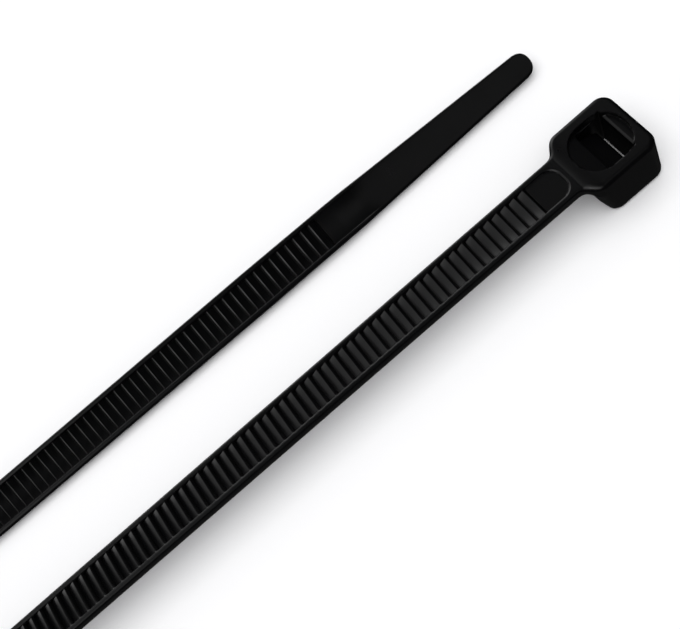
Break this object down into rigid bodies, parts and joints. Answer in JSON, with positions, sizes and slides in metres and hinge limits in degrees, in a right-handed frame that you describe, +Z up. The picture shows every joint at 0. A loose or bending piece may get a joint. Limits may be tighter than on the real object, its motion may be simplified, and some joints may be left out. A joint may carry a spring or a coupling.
{
  "type": "cable tie",
  "caption": "Self-locking moulded cable tie with a toothed strap, slotted head and tapered tail, bent back so that head and tail lie side by side.",
  "frame": {"origin": "middle of the strap slot, in the plane of the head's flat back, on the surface that the tie lies on", "axes": "+X along the head's run, from the bend towards the head, +Y from the head's run towards the tail's run, +Z up, the side that the teeth face"},
  "size_m": [0.1175, 0.0234, 0.0061],
  "materials": {
    "nylon": "black moulded nylon, satin"
  },
  "bodies": {
    "root": {"cable_tie": "nylon"}
  },
  "joints": []
}
